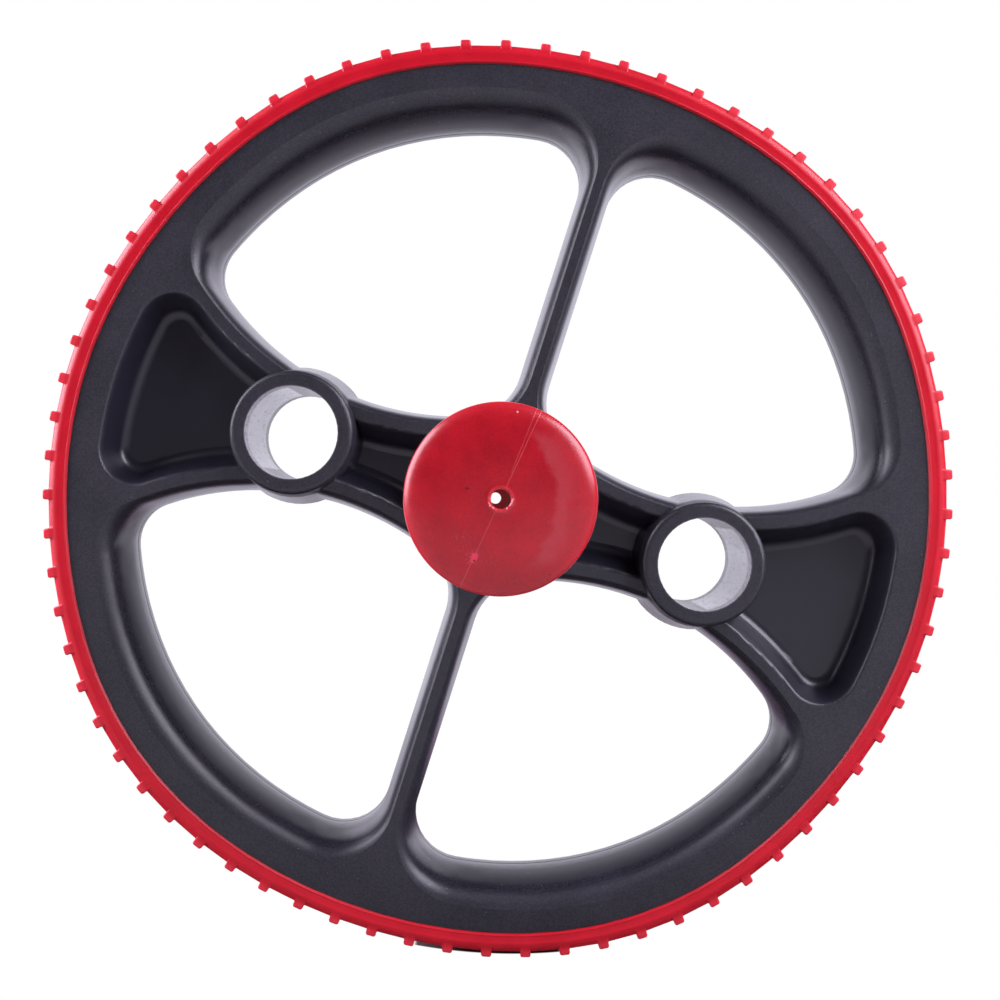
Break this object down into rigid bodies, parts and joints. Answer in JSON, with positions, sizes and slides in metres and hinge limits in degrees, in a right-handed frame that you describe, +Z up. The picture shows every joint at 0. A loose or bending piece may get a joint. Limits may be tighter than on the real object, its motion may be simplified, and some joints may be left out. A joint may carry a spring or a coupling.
{
  "type": "ab wheel roller",
  "caption": "Large moulded wheel with a cleated rubber tyre, turning on an axle with a flanged hand grip at each side, for rollout exercises; open bores in its wide arms.",
  "frame": {"origin": "centre of the wheel on its axle, at half width", "axes": "+Y along the axle away from the picture's camera, +Z up, +X to the camera's right"},
  "size_m": [0.3518, 0.34, 0.3518],
  "materials": {
    "wheel_plastic": "satin black moulded plastic with a fine grain",
    "tyre_rubber": "smooth red moulded rubber",
    "handle_plastic": "semi-gloss red moulded plastic with a parting line and light scuffs",
    "bush_nylon": "natural nylon",
    "axle_steel": "drawn steel tube",
    "washer_steel": "zinc plated steel",
    "screw_steel": "black oxide steel"
  },
  "bodies": {
    "handles": {"axle_tube": "axle_steel", "front_handle": "handle_plastic", "rear_handle": "handle_plastic", "front_thrust_washer": "washer_steel", "rear_thrust_washer": "washer_steel", "front_set_screw": "screw_steel", "rear_set_screw": "screw_steel"},
    "wheel": {"wheel_body": "wheel_plastic", "tyre": "tyre_rubber", "front_bush": "bush_nylon", "rear_bush": "bush_nylon"}
  },
  "joints": [
    {"name": "wheel_spin", "type": "hinge", "parent": "handles", "child": "wheel", "pos_m": [0, 0, 0], "axis": [0, 1, 0], "continuous": true}
  ]
}
